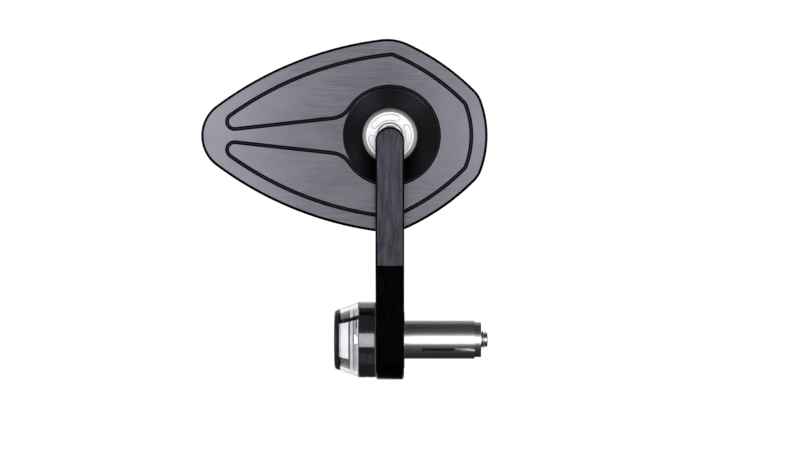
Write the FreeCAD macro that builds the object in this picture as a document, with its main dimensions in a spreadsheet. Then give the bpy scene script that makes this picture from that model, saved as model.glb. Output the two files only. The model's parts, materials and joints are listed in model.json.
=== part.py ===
import FreeCAD, Part
import math
import os
import Sketcher
from FreeCAD import Placement, Rotation, Vector

# Bar-end mirror with an indicator lamp, for a motorcycle handlebar.  Millimetres, +Z up.
# +X runs along the handlebar axis towards the grip, +Y towards the rider.
# The origin is on the bar axis, in the plane where the bar ends.

doc = FreeCAD.newDocument("bar_end_mirror")
sizes = doc.addObject("Spreadsheet::Sheet", "Sizes")

DRIVING = {
    # Mirror head: outline of tangent arcs about its long axis, seen from its back.
    "head_tip": 85.4,            # ball centre to the narrow end
    "head_end": 44.2,            # ball centre to the wide end
    "head_peak": 43.8,           # half the head's greatest height
    "peak_offset": 1.3,          # that height's place, from the ball towards the narrow end
    "tip_round": 17.0,
    "side_curve": 157.0,
    "peak_round": 22.3,
    "shoulder_curve": 105.0,
    "corner_round": 13.5,
    "corner_height": 11.1,       # height of the corner arc's centre above the long axis
    "end_curve": 46.5,
    "back_level": 6.6,           # back face of the plate, in front of the ball centre
    "plate_wall": 3.5,
    "rim_wall": 4.5,
    "rim_chamfer": 1.2,
    # Milled grooves and dish on the back face.
    "groove_inset": 7.4,
    "groove_width": 1.8,
    "groove_depth": 0.8,
    "rib_half": 10.7,            # an inner groove's line, carried on to the ball's level
    "rib_slope": 6.3,            # degrees, of that line to the long axis
    "loop_round": 3.4,
    "flare_round": 10.0,
    "dish_edge": 21.3,
    "dish_floor": 12.6,
    "dish_depth": 2.2,
    "ring_groove_width": 1.7,
    "peak_turn": 1.5,            # the groove's own tight turn under the outline's peak
    "corner_turn": 3.0,
    # Ball joint.
    "ball_round": 6.3,
    "ball_play": 0.04,
    "liner_wall": 0.56,
    "liner_mouth": 4.2,
    "cup_outer": 9.9,
    "cup_floor": 0.9,
    "cup_front": 0.5,
    "spin_play": 0.06,
    "slip_thick": 0.4,
    "hub_wall": 1.5,
    "ring_outer": 12.4,
    "ring_face": 10.75,
    "ring_level": 5.4,
    "ring_bore": 5.9,
    "ring_flange": 1.8,
    "ring_thread": 10.5,
    "thread_play": 0.03,
    "kidney_circle": 8.35,
    "kidney_width": 2.7,
    "kidney_span": 78.0,         # degrees
    "kidney_turn": 107.0,        # degrees
    "kidney_depth": 0.5,
    "neck_round": 3.2,
    "collar_round": 5.0,
    "collar_thick": 2.0,
    "stud_round": 3.0,
    "stud_reach": 4.6,
    # Reflecting face.
    "web_wall": 1.0,
    "pad_thick": 0.5,
    "glass_thick": 2.0,
    "glass_play": 0.3,
    "glass_lip": 2.0,            # shell's rim round the glass
    "glass_edge": 0.5,
    "back_edge": 0.65,
    # Arm: a bar with one bend, and an eye round the bar axis.
    "arm_width": 12.9,
    "arm_thick": 7.0,
    "arm_front": 28.5,           # ball centre to the arm's front face
    "arm_lean": 6.6,             # degrees, upper run
    "arm_slant": 27.0,           # degrees, lower run
    "arm_edge": 0.75,
    "top_flat": 0.02,            # width left flat between the two rounded top corners
    "bend_height": 34.4,
    "ball_height": 93.0,
    "eye_round": 18.3,
    "eye_blend": 9.0,
    "eye_gap": 0.2,              # eye's inboard face to the end of the bar
    # Bar-end plug.
    "bush_wall": 0.85,
    "bush_play": 0.05,
    "bush_fit": 0.05,
    "spigot_round": 9.95,
    "stop_outer": 13.0,
    "stop_thick": 0.9,
    "stop_play": 0.15,
    "washer_inset": 0.3,
    "washer_thick": 0.5,
    "sleeve_round": 8.8,
    "sleeve_wall": 2.6,
    "sleeve_length": 32.0,
    "sleeve_slot": 1.5,
    "sleeve_slot_length": 24.0,
    "cone_length": 9.0,
    "cone_slope": 12.0,          # degrees
    "cone_play": 0.05,
    "cone_tail": 3.0,
    "bolt_round": 4.0,
    "bolt_play": 0.1,
    "bolt_head": 6.5,
    "bolt_head_thick": 5.0,
    "bolt_tail": 3.0,
    "bolt_bore": 1.8,
    "hex_flats": 6.0,
    "hex_depth": 3.0,
    "bolt_washer_thick": 1.0,
    "head_recess_play": 0.4,
    "head_sunk": 1.0,            # bolt head's top below the base's outboard face
    # Indicator lamp.
    "lamp_round": 17.5,
    "base_thick": 3.3,
    "lip_step": 1.6,             # lamp's surface to the bezel's lip
    "lip_wall": 1.9,
    "lip_length": 1.0,
    "lip_play": 0.1,
    "cord_round": 0.5,           # section radius of the sealing ring
    "bezel_length": 4.0,
    "bezel_edge": 0.15,
    "seat_wall": 1.4,
    "seat_depth": 1.5,
    "seal_thick": 0.3,
    "lens_step": 0.1,            # lamp's surface to the lens's foot
    "lens_length": 11.3,
    "lens_taper": 20.0,          # degrees
    "lens_corner": 1.1,          # from the sharp corner to either end of its arc
    "lens_wall": 1.5,
    "cap_length": 2.4,
    "core_play": 0.5,            # core's wide end to the lens's inner face
    "core_length": 5.8,
    "core_wall": 1.6,
    "core_cap": 0.5,
    "core_gap": 0.5,
    "window_angle": 36.4,        # degrees either side of the middle
    "window_start": 0.8,
    "window_length": 4.2,
    "reflector_length": 3.2,
    "reflector_wall": 2.0,
    "neck_step": 0.8,            # core's wide end to the reflector's neck
    "reflector_play": 0.3,
    "facet_depth": 0.8,
    "board_thick": 1.0,
    "board_play": 0.3,
    "led_size": 2.4,
    "led_thick": 0.8,
    "led_inset": 2.5,            # reflector's bore to the middle of a chip
    "led_count": 6,
    "overrun": 1.0,              # how far a cut starts outside the face it enters
}
for line, (alias, value) in enumerate(DRIVING.items(), start=1):
    sizes.set("A%d" % line, alias)
    sizes.set("B%d" % line, str(value))
    sizes.setAlias("B%d" % line, alias)

# Places worked out from the driving dimensions, as cells that refer to the others.
DERIVED = {
    "ball_x": "-(eye_gap + arm_width / 2)",
    "slant_tan": "tan(arm_slant * 1deg)",
    "lean_tan": "tan(arm_lean * 1deg)",
    "bend_y": "-eye_round * cos(arm_slant * 1deg)"
              " - (bend_height + eye_round * sin(arm_slant * 1deg)) * slant_tan",
    "ball_y": "bend_y - (ball_height - bend_height) * lean_tan + arm_front / cos(arm_lean * 1deg)",
    "liner_inner": "ball_round + ball_play",
    "liner_outer": "liner_inner + liner_wall",
    "seat_round": "liner_outer + ball_play",
    "cup_back": "seat_round + cup_floor",
    "slip_back": "cup_back + slip_thick",
    "web_back": "slip_back + web_wall",
    "pad_back": "web_back + pad_thick",
    "glass_back": "pad_back + glass_thick",
    "hub_round": "ring_outer + hub_wall",
    "dish_level": "back_level - dish_depth",
    "eye_out": "-(eye_gap + arm_width)",
    "eye_bore": "spigot_round + bush_play + bush_wall + bush_fit",
    "base_in": "eye_out - washer_thick",
    "washer_outer": "lamp_round - washer_inset",
    "part_line": "base_in - base_thick",
    "lip_end": "part_line + lip_length",
    "recess_floor": "lip_end + 2 * cord_round",
    "bezel_out": "part_line - bezel_length",
    "seat_floor": "bezel_out + seat_depth + seal_thick",
    "lip_round": "lamp_round - lip_step",
    "lip_bore": "lip_round - lip_wall",
    "lens_out": "bezel_out - lens_length",
    "stop_level": "-stop_thick",
    "sleeve_end": "sleeve_length",
    "sleeve_bore": "sleeve_round - sleeve_wall",
    "cone_tan": "tan(cone_slope * 1deg)",
    "cone_start": "sleeve_end - cone_length",
    "cone_end": "sleeve_end + cone_tail",
    "bolt_seat": "recess_floor + head_sunk + bolt_head_thick + bolt_washer_thick",
    "bolt_end": "cone_end + bolt_tail",
    "head_recess": "bolt_head + head_recess_play",
    "lens_tan": "tan(lens_taper * 1deg)",
    "lens_skin": "lens_wall / cos(lens_taper * 1deg)",
    "lens_round": "lamp_round - lens_step",
    "lens_tip": "lens_round - lens_length * lens_tan",
    "cap_in": "lens_out + cap_length",
    "cap_round": "lens_tip + cap_length * lens_tan",
    "lens_bend": "lens_corner / tan((90 - lens_taper) / 2 * 1deg)",
    "flange_in": "bezel_out + seat_depth",
    "seat_bore": "lamp_round - seat_wall",
    "reflector_out": "bezel_out - reflector_length",
    "reflector_round": "lens_round - lens_skin - reflector_play",
    "core_round": "lens_round - (reflector_length + core_gap) * lens_tan - lens_skin - core_play",
    "reflector_neck": "core_round - neck_step",
    "reflector_bore": "reflector_neck - reflector_wall",
    "led_circle": "reflector_bore - led_inset",
    "board_out": "lip_end - board_thick",
    "core_in": "reflector_out - core_gap",
    "core_out": "core_in - core_length",
    "core_tip": "core_round - core_length * lens_tan",
    "slant_cos": "cos(arm_slant * 1deg)",
    "slant_sin": "sin(arm_slant * 1deg)",
    "lean_cos": "cos(arm_lean * 1deg)",
    "lean_sin": "sin(arm_lean * 1deg)",
    "arm_back": "arm_front - arm_thick",
    "stud_floor": "arm_thick - stud_reach - thread_play",
    "stud_y": "ball_y - arm_front * lean_cos",
    "stud_z": "ball_height - arm_front * lean_sin",
    "bend_share": "arm_thick / (1 + cos((arm_slant - arm_lean) * 1deg))",
    "blend_near": "eye_round - arm_thick - eye_blend",
    "blend_far": "sqrt((eye_round + eye_blend)^2 - blend_near^2)",
    "blend_y": "-slant_cos * blend_near - slant_sin * blend_far",
    "blend_z": "-slant_sin * blend_near + slant_cos * blend_far",
    "blend_share": "eye_round / (eye_round + eye_blend)",
}
TOUCH = 0.001                    # a point this near a plane counts as on it
first = len(DRIVING) + 2
for line, (alias, formula) in enumerate(DERIVED.items(), start=first):
    sizes.set("A%d" % line, alias)
    sizes.set("B%d" % line, "=" + formula)
    sizes.setAlias("B%d" % line, alias)
doc.recompute()


def size(alias):
    """The number a cell holds."""
    cell = getattr(sizes, alias)
    return float(getattr(cell, "Value", cell))


def worked(formula):
    """The number a formula in cell names gives."""
    result = sizes.evalExpression(formula)
    return float(getattr(result, "Value", result))


def bound(formula):
    """The same formula as other objects have to write it, with the sheet's name before each cell's."""
    words = sorted(list(DRIVING) + list(DERIVED), key=len, reverse=True)
    text = ""
    while formula:
        word = next((w for w in words if formula.startswith(w)), None)
        before = text[-1:] if text else " "
        if word and not (before.isalnum() or before in "_."):
            text = text + "Sizes." + word
            formula = formula[len(word):]
        else:
            text = text + formula[0]
            formula = formula[1:]
    return text


def new_body(name):
    body = doc.addObject("PartDesign::Body", name)
    body.Label = name
    return body


def origin_plane(body, role):
    return next(f for f in body.Origin.OriginFeatures if f.Role == role)


def new_sketch(body, name, role, level=None):
    """A sketch on one of the body's own planes, moved along the plane's normal to a level."""
    sketch = body.newObject("Sketcher::SketchObject", name)
    sketch.AttachmentSupport = (origin_plane(body, role), "")
    sketch.MapMode = "FlatFace"
    if level:
        sketch.setExpression("AttachmentOffset.Base.z", bound(level))
    return sketch


def fix(sketch, geo, pos, across, up):
    """Hold one point of a sketch at two formulas."""
    for kind, axis, formula in (("DistanceX", -2, across), ("DistanceY", -1, up)):
        if formula == "0":
            sketch.addConstraint(Sketcher.Constraint("PointOnObject", geo, pos, axis))
        else:
            number = sketch.addConstraint(Sketcher.Constraint(kind, geo, pos, worked(formula)))
            sketch.setExpression("Constraints[%d]" % number, bound(formula))


def add_circle(sketch, radius):
    """A circle on the sketch's origin."""
    geo = sketch.addGeometry(Part.Circle(Vector(0, 0, 0), Vector(0, 0, 1), worked(radius)), False)
    sketch.addConstraint(Sketcher.Constraint("Coincident", geo, 3, -1, 1))
    number = sketch.addConstraint(Sketcher.Constraint("Radius", geo, worked(radius)))
    sketch.setExpression("Constraints[%d]" % number, bound(radius))


def closed_profile(sketch, corners):
    """Join corners (across, up) by lines, or by the arc whose radius a third item gives.

    An arc turns left if its fourth item is "left", and right if it is "right".
    """
    spots = [Vector(worked(c[0]), worked(c[1]), 0) for c in corners]
    ends = []
    for i, corner in enumerate(corners):
        start = spots[i]
        finish = spots[(i + 1) % len(spots)]
        if len(corner) == 2:
            geo = sketch.addGeometry(Part.LineSegment(start, finish), False)
            ends.append((geo, 1, 2))
        else:
            radius = worked(corner[2])
            chord = finish - start
            side = Vector(-chord.y, chord.x, 0).normalize()
            if corner[3] == "right":
                side = -side
            middle = (start + finish) / 2
            drop = math.sqrt(max(radius ** 2 - (chord.Length / 2) ** 2, 0))
            centre = middle + side * drop
            first_angle = math.atan2(start.y - centre.y, start.x - centre.x)
            last_angle = math.atan2(finish.y - centre.y, finish.x - centre.x)
            order = (1, 2)
            if corner[3] == "right":
                first_angle, last_angle = last_angle, first_angle
                order = (2, 1)
            circle = Part.Circle(centre, Vector(0, 0, 1), radius)
            geo = sketch.addGeometry(Part.ArcOfCircle(circle, first_angle, last_angle), False)
            ends.append((geo, order[0], order[1]))
    for i, (geo, start_pos, end_pos) in enumerate(ends):
        after = ends[(i + 1) % len(ends)]
        sketch.addConstraint(Sketcher.Constraint("Coincident", geo, end_pos, after[0], after[1]))
    for corner, (geo, start_pos, end_pos) in zip(corners, ends):
        fix(sketch, geo, start_pos, corner[0], corner[1])
        if len(corner) > 2:
            number = sketch.addConstraint(Sketcher.Constraint("Radius", geo, worked(corner[2])))
            sketch.setExpression("Constraints[%d]" % number, bound(corner[2]))


def turned(name, corners):
    """A turned piece: its half section, as (along the axis, radius), revolved about local X."""
    body = new_body(name)
    sketch = new_sketch(body, name + "_section", "XZ_Plane")
    closed_profile(sketch, corners)
    feature = body.newObject("PartDesign::Revolution", name + "_turn")
    feature.Profile = sketch
    feature.ReferenceAxis = (sketch, ["H_Axis"])
    feature.Angle = 360
    body.Tip = feature
    doc.recompute()
    return body


def at_ball(body):
    """Turn a piece's local X to the head's depth, with its origin at the ball's centre."""
    body.Placement = Placement(Vector(0, 0, 0), Rotation(Vector(0, 0, 1), 90))
    body.setExpression("Placement.Base.x", "Sizes.ball_x")
    body.setExpression("Placement.Base.y", "Sizes.ball_y")
    body.setExpression("Placement.Base.z", "Sizes.ball_height")


def pocket(body, sketch, name, depth, reverse):
    """Cut a sketch into the body, and make sure that it removed something."""
    before = body.Shape.Volume
    feature = body.newObject("PartDesign::Pocket", name)
    feature.Profile = sketch
    feature.Reversed = reverse
    feature.setExpression("Length", bound(depth))
    body.Tip = feature
    doc.recompute()
    if body.Shape.Volume > before - TOUCH:
        raise RuntimeError(name + " cut nothing")
    return feature


def polar(body, feature, name, count):
    """Repeat a feature evenly about the body's local X axis."""
    pattern = body.newObject("PartDesign::PolarPattern", name)
    pattern.Originals = [feature]
    pattern.Axis = (origin_plane(body, "X_Axis"), [""])
    pattern.Angle = 360
    pattern.Occurrences = count
    body.Tip = pattern
    doc.recompute()
    return pattern


def edges_where(shape, test):
    """Names of the edges whose every point passes a test."""
    names = []
    for number, edge in enumerate(shape.Edges, start=1):
        middle = edge.valueAt((edge.FirstParameter + edge.LastParameter) / 2)
        spots = [v.Point for v in edge.Vertexes] + [middle]
        if all(test(spot) for spot in spots):
            names.append("Edge%d" % number)
    return names


def arm():
    """The arm: a bar with one bend, widened to an eye, with a blind hole for the ball stud."""
    body = new_body("arm_blank")
    side = new_sketch(body, "arm_side", "YZ_Plane", "eye_out")
    closed_profile(side, [
        ("-eye_round * slant_cos", "-eye_round * slant_sin"),
        ("bend_y", "bend_height"),
        ("stud_y - arm_width / 2 * lean_sin", "stud_z + arm_width / 2 * lean_cos"),
        ("stud_y - arm_width / 2 * lean_sin + arm_thick * lean_cos",
         "stud_z + arm_width / 2 * lean_cos + arm_thick * lean_sin"),
        ("bend_y + bend_share * (lean_cos + slant_cos)",
         "bend_height + bend_share * (lean_sin + slant_sin)"),
        ("blend_y - eye_blend * slant_cos", "blend_z - eye_blend * slant_sin", "eye_blend", "left"),
        ("blend_y * blend_share", "blend_z * blend_share"),
        ("0", "0"),
    ])
    bar = body.newObject("PartDesign::Pad", "arm_bar")
    bar.Profile = side
    bar.setExpression("Length", bound("arm_width"))
    ring = new_sketch(body, "eye_circle", "YZ_Plane", "eye_out")
    add_circle(ring, "eye_round")
    eye = body.newObject("PartDesign::Pad", "eye_disc")
    eye.Profile = ring
    eye.setExpression("Length", bound("arm_width"))
    body.Tip = eye
    doc.recompute()
    top = size("ball_height")
    middle = size("ball_x")
    corners = body.newObject("PartDesign::Fillet", "arm_top")
    corners.Base = (eye, edges_where(eye.Shape, lambda p: p.z > top and abs(p.x - middle) > TOUCH))
    corners.setExpression("Radius", bound("(arm_width - top_flat) / 2"))
    body.Tip = corners
    doc.recompute()
    faces = (size("eye_out"), -size("eye_gap"))
    edge = body.newObject("PartDesign::Chamfer", "arm_edges")
    edge.Base = (corners, edges_where(corners.Shape, lambda p: min(abs(p.x - f) for f in faces) < TOUCH))
    edge.setExpression("Size", bound("arm_edge"))
    body.Tip = edge
    doc.recompute()
    bore = new_sketch(body, "eye_bore_circle", "YZ_Plane", "eye_out")
    add_circle(bore, "eye_bore")
    pocket(body, bore, "eye_hole", "arm_width", True)
    seat = new_sketch(body, "stop_seat_circle", "YZ_Plane", "stop_level")
    add_circle(seat, "stop_outer + stop_play")
    pocket(body, seat, "stop_seat", "stop_thick", True)
    hole = doc.addObject("Part::Cylinder", "stud_hole")
    hole.Placement = Placement(Vector(0, 0, 0), Rotation(Vector(-1, 0, 0), 90 - size("arm_lean")))
    hole.setExpression("Placement.Rotation.Angle", bound("90 - arm_lean"))
    hole.setExpression("Placement.Base.x", bound("ball_x"))
    hole.setExpression("Placement.Base.y", bound("stud_y + stud_floor * lean_cos"))
    hole.setExpression("Placement.Base.z", bound("stud_z + stud_floor * lean_sin"))
    hole.setExpression("Radius", bound("stud_round + thread_play"))
    hole.setExpression("Height", bound("arm_thick"))
    cut = doc.addObject("Part::Cut", "arm")
    cut.Label = "arm"
    cut.Base = body
    cut.Tool = hole
    return cut


def ball_stud():
    """The ball, its neck and collar, and the threaded shank in the arm."""
    body = turned("ball_stud", [
        ("ball_round", "0", "ball_round", "left"),
        ("-sqrt(ball_round^2 - neck_round^2)", "neck_round"),
        ("-(arm_back - collar_thick)", "neck_round"),
        ("-(arm_back - collar_thick)", "collar_round"),
        ("-arm_back", "collar_round"),
        ("-arm_back", "stud_round"),
        ("-(arm_back + stud_reach)", "stud_round"),
        ("-(arm_back + stud_reach)", "0"),
    ])
    at_ball(body)
    lean = Rotation(Vector(1, 0, 0), size("arm_lean"))
    body.Placement = Placement(body.Placement.Base, lean.multiply(Rotation(Vector(0, 0, 1), 90)))
    return body


def ball_liner():
    """The thin bearing shell that wraps the ball."""
    body = turned("ball_liner", [
        ("liner_outer", "0", "liner_outer", "left"),
        ("-liner_mouth", "sqrt(liner_outer^2 - liner_mouth^2)"),
        ("-liner_mouth", "sqrt(liner_inner^2 - liner_mouth^2)", "liner_inner", "right"),
        ("liner_inner", "0"),
    ])
    at_ball(body)
    return body


def socket_cup():
    """The cup that seats the liner, and turns in the head's bore."""
    body = turned("socket_cup", [
        ("cup_back", "0"),
        ("cup_back", "cup_outer"),
        ("-cup_front", "cup_outer"),
        ("-cup_front", "sqrt(seat_round^2 - cup_front^2)", "seat_round", "right"),
        ("seat_round", "0"),
    ])
    at_ball(body)
    return body


def slip_washer():
    """The low-friction disc behind the cup."""
    body = turned("slip_washer", [
        ("cup_back", "0"),
        ("cup_back", "cup_outer"),
        ("slip_back", "cup_outer"),
        ("slip_back", "0"),
    ])
    at_ball(body)
    return body


def retaining_ring():
    """The screwed ring round the ball, with three curved pockets for a pin spanner."""
    body = turned("retaining_ring", [
        ("-ring_level", "ring_bore"),
        ("-sqrt(seat_round^2 - ring_bore^2)", "ring_bore", "seat_round", "right"),
        ("-(cup_front + spin_play)", "sqrt(seat_round^2 - (cup_front + spin_play)^2)"),
        ("-(cup_front + spin_play)", "ring_thread"),
        ("-(dish_level - ring_flange / 2)", "ring_thread"),
        ("-(dish_level - ring_flange / 2)", "ring_outer"),
        ("-dish_level", "ring_outer"),
        ("-ring_level", "ring_face"),
    ])
    slot = new_sketch(body, "kidney", "YZ_Plane", "-ring_level")
    start = "kidney_turn - kidney_span / 2"
    finish = "kidney_turn + kidney_span / 2"
    inner = "kidney_circle - kidney_width / 2"
    outer = "kidney_circle + kidney_width / 2"

    def spot(radius, angle):
        return "-(%s) * cos((%s) * 1deg)" % (radius, angle), "(%s) * sin((%s) * 1deg)" % (radius, angle)

    closed_profile(slot, [
        spot(outer, start) + (outer, "right"),
        spot(outer, finish) + ("kidney_width / 2", "right"),
        spot(inner, finish) + (inner, "left"),
        spot(inner, start) + ("kidney_width / 2", "right"),
    ])
    cut = pocket(body, slot, "kidney_pocket", "kidney_depth", True)
    polar(body, cut, "kidney_pockets", 3)
    at_ball(body)
    return body


def meet(centre_a, reach_a, centre_b, reach_b, near):
    """The point at given distances from two centres, on the side nearest to a third point."""
    across = centre_b - centre_a
    gap = across.Length
    along = (reach_a ** 2 - reach_b ** 2 + gap ** 2) / (2 * gap)
    off = math.sqrt(reach_a ** 2 - along ** 2)
    foot = centre_a + across * (along / gap)
    side = Vector(-across.z, 0, across.x) * (off / gap)
    return min((foot + side, foot - side), key=lambda p: p.distanceToPoint(near))


def head_circles():
    """Centre and radius of each arc of the outline's upper half, from the tip to the wide end.

    They lie in the XZ plane, with the ball at the origin and the long axis along X.
    """
    tip = (Vector(size("tip_round") - size("head_tip"), 0, 0), size("tip_round"))
    peak_level = size("head_peak") - size("peak_round")
    peak = (Vector(-size("peak_offset"), 0, peak_level), size("peak_round"))
    end = (Vector(size("head_end") - size("end_curve"), 0, 0), size("end_curve"))
    reach = size("end_curve") - size("corner_round")
    level = size("corner_height")
    corner = (end[0] + Vector(math.sqrt(reach ** 2 - level ** 2), 0, level), size("corner_round"))
    below = Vector(0, 0, -size("side_curve"))
    side_reach = size("side_curve")
    side = (meet(tip[0], side_reach - tip[1], peak[0], side_reach - peak[1], below), side_reach)
    shoulder_reach = size("shoulder_curve")
    shoulder = (meet(peak[0], shoulder_reach - peak[1], corner[0], shoulder_reach - corner[1], below),
                shoulder_reach)
    return [tip, side, peak, shoulder, corner, end]


def bearing(a, b):
    return math.atan2(b.z - a.z, b.x - a.x)


def joint_angles(circles):
    """The direction from an arc's centre to each point where it passes into the next arc."""
    angles = []
    for (centre, radius), (after, other) in zip(circles, circles[1:]):
        wide, tight = (centre, after) if radius > other else (after, centre)
        angles.append(bearing(wide, tight))
    return angles


def arc_edge(centre, radius, start, finish):
    """An arc in the XZ plane through the middle of its two angles, and its mirror image below."""
    spots = []
    for angle in (start, (start + finish) / 2, finish):
        spots.append(centre + Vector(math.cos(angle), 0, math.sin(angle)) * radius)
    return Part.Arc(*spots).toShape()


def mirrored(edges):
    """Edges of an upper half, with their copies below the long axis, joined to one wire."""
    below = [edge.mirror(Vector(0, 0, 0), Vector(0, 0, 1)) for edge in edges]
    return Part.Wire(Part.sortEdges(edges + below)[0])


def outline(inset):
    """The closed outline of the head, moved inwards by an inset."""
    circles = head_circles()
    angles = [math.pi] + joint_angles(circles) + [0.0]
    edges = []
    for (centre, radius), start, finish in zip(circles, angles, angles[1:]):
        edges.append(arc_edge(centre, radius - inset, start, finish))
    return mirrored(edges)


def edges_at(solid, level):
    """The edges that lie in one plane across Y."""
    return [e for e in solid.Edges if all(abs(v.Y - level) < TOUCH for v in e.Vertexes)]


def slab(inset, front, back):
    """A flat plate of the head's outline between two levels along Y."""
    face = Part.Face(outline(inset))
    face.translate(Vector(0, front, 0))
    return face.extrude(Vector(0, back - front, 0))


def groove_circles():
    """Centre and radius of each arc of the groove, from beside the tip to the wide end.

    The long ones run inside the outline's own, and between them the cutter turned more tightly.
    """
    tip, side, peak, shoulder, corner, end = head_circles()
    inner_side, inner_shoulder, inner_end = [
        (centre, radius - size("groove_inset")) for centre, radius in (side, shoulder, end)]

    def turn(before, after, radius, near):
        return meet(before[0], before[1] - radius, after[0], after[1] - radius, near), radius

    peak_turn = turn(inner_side, inner_shoulder, size("peak_turn"), peak[0])
    corner_turn = turn(inner_shoulder, inner_end, size("corner_turn"), corner[0])
    return [inner_side, peak_turn, inner_shoulder, corner_turn, inner_end]


def groove_path():
    """The closed centre line of the milled groove.

    It follows the outline, turns back on each side of the wedge rib, and runs round the dish.
    """
    circles = groove_circles()
    angles = [0.0] + joint_angles(circles) + [0.0]
    side_centre, side_radius = circles[0]
    slope = math.radians(size("rib_slope"))
    along = Vector(math.cos(slope), 0, math.sin(slope))
    across = Vector(-math.sin(slope), 0, math.cos(slope))
    start = Vector(0, 0, size("rib_half"))
    loop = size("loop_round")
    flare = size("flare_round")
    ring = size("dish_edge") + size("ring_groove_width") / 2

    def on_line(raised, centre, reach):
        """Towards the tip, the point at a height over the rib's line and a distance from a centre."""
        base = start + across * raised - centre
        middle = base.dot(along)
        return centre + base - along * (middle + math.sqrt(middle ** 2 - base.dot(base) + reach ** 2))

    loop_centre = on_line(loop, side_centre, side_radius - loop)
    flare_centre = on_line(flare, Vector(0, 0, 0), ring + flare)
    hub = bearing(Vector(0, 0, 0), flare_centre)
    down = slope - math.pi / 2
    edges = [arc_edge(Vector(0, 0, 0), ring, 0.0, hub)]
    edges.append(arc_edge(flare_centre, flare, hub - math.pi, down))
    edges.append(Part.LineSegment(flare_centre - across * flare, loop_centre - across * loop).toShape())
    edges.append(arc_edge(loop_centre, loop, 2 * math.pi + down, bearing(side_centre, loop_centre)))
    angles[0] = bearing(side_centre, loop_centre)
    for (centre, radius), first_angle, last_angle in zip(circles, angles, angles[1:]):
        edges.append(arc_edge(centre, radius, first_angle, last_angle))
    return edges


def head_shell():
    """The machined shell: hollow behind its back plate, with a hub for the ball joint."""
    front = -size("back_level")
    back = size("glass_back")
    solid = slab(0, front, back)
    solid = solid.makeChamfer(size("rim_chamfer"), edges_at(solid, front))
    solid = solid.makeChamfer(size("back_edge"), edges_at(solid, back))
    level = size("web_back")
    hollow = slab(size("rim_wall"), front + size("plate_wall"), level)
    hub = Part.makeCylinder(size("hub_round"), level - front, Vector(0, front, 0), Vector(0, 1, 0))
    solid = solid.cut(hollow.cut(hub))
    over = size("overrun")
    solid = solid.cut(slab(size("glass_lip"), level, back + over))
    dish_slope = (size("dish_edge") - size("dish_floor")) / size("dish_depth")
    steps = [
        (front - over, size("dish_edge") + over * dish_slope),
        (-size("dish_level"), size("dish_floor")),
        (-size("dish_level"), size("ring_outer") + size("lip_play")),
        (-size("dish_level") + size("ring_flange") / 2, size("ring_outer") + size("lip_play")),
        (-size("dish_level") + size("ring_flange") / 2, size("ring_thread") + size("thread_play")),
        (-size("cup_front"), size("ring_thread") + size("thread_play")),
        (-size("cup_front"), size("cup_outer") + size("spin_play")),
        (size("slip_back"), size("cup_outer") + size("spin_play")),
    ]
    corners = [Vector(radius, level, 0) for level, radius in steps]
    corners = [Vector(0, steps[0][0], 0)] + corners + [Vector(0, steps[-1][0], 0)]
    section = Part.Face(Part.makePolygon(corners + corners[:1]))
    solid = solid.cut(section.revolve(Vector(0, 0, 0), Vector(0, 1, 0), 360))
    half = size("groove_width") / 2
    depth = size("groove_depth")
    cutter = (half ** 2 + depth ** 2) / (2 * depth)
    raised = front - (cutter - depth)
    for edge in groove_path():
        for piece in (edge, edge.mirror(Vector(0, 0, 0), Vector(0, 0, 1))):
            piece.translate(Vector(0, raised, 0))
            place = piece.valueAt(piece.FirstParameter)
            heading = piece.tangentAt(piece.FirstParameter)
            profile = Part.Wire(Part.makeCircle(cutter, place, heading))
            solid = solid.cut(Part.Wire(piece).makePipeShell([profile], True, True))
    return solid


def mirror_glass():
    """The reflecting plate, with a ground edge."""
    inset = size("glass_lip") + size("glass_play")
    front = size("pad_back")
    back = size("glass_back")
    solid = slab(inset, front, back)
    return solid.makeChamfer(size("glass_edge"), edges_at(solid, back))


def glass_pad():
    """The adhesive sheet between the shell and the reflecting plate."""
    return slab(size("glass_lip") + size("glass_play"), size("web_back"), size("pad_back"))


def by_outline(name, make):
    """A piece with the head's outline: its arcs meet at worked-out tangent points, so code shapes it."""
    piece = doc.addObject("Part::Feature", name)
    piece.Label = name
    piece.Shape = make()
    piece.Placement = Placement(Vector(size("ball_x"), size("ball_y"), size("ball_height")), Rotation())
    return piece


def friction_washer():
    """The washer between the lamp base and the eye, set back from both rims."""
    return turned("friction_washer", [
        ("base_in", "spigot_round + bush_play"),
        ("base_in", "washer_outer"),
        ("eye_out", "washer_outer"),
        ("eye_out", "spigot_round + bush_play"),
    ])


def eye_bush():
    """The plastic bush in the eye, which turns on the spigot."""
    return turned("eye_bush", [
        ("eye_out", "spigot_round + bush_play"),
        ("eye_out", "spigot_round + bush_play + bush_wall"),
        ("stop_level", "spigot_round + bush_play + bush_wall"),
        ("stop_level", "spigot_round + bush_play"),
    ])


def stop_washer():
    """The washer round the spigot, between the eye and the end of the handlebar."""
    return turned("stop_washer", [
        ("stop_level", "spigot_round + stop_play"),
        ("stop_level", "stop_outer"),
        ("0", "stop_outer"),
        ("0", "spigot_round + stop_play"),
    ])


def lamp_base():
    """The plug's base: a flange for the lamp, and the spigot that carries the arm."""
    return turned("lamp_base", [
        ("recess_floor", "head_recess"),
        ("recess_floor", "lip_round + lip_play"),
        ("part_line", "lip_round + lip_play"),
        ("part_line", "lamp_round - bezel_edge"),
        ("part_line + bezel_edge", "lamp_round"),
        ("base_in - bezel_edge", "lamp_round"),
        ("base_in", "lamp_round - bezel_edge"),
        ("base_in", "spigot_round"),
        ("0", "spigot_round"),
        ("0", "bolt_round + bolt_play"),
        ("bolt_seat", "bolt_round + bolt_play"),
        ("bolt_seat", "head_recess"),
    ])


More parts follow.
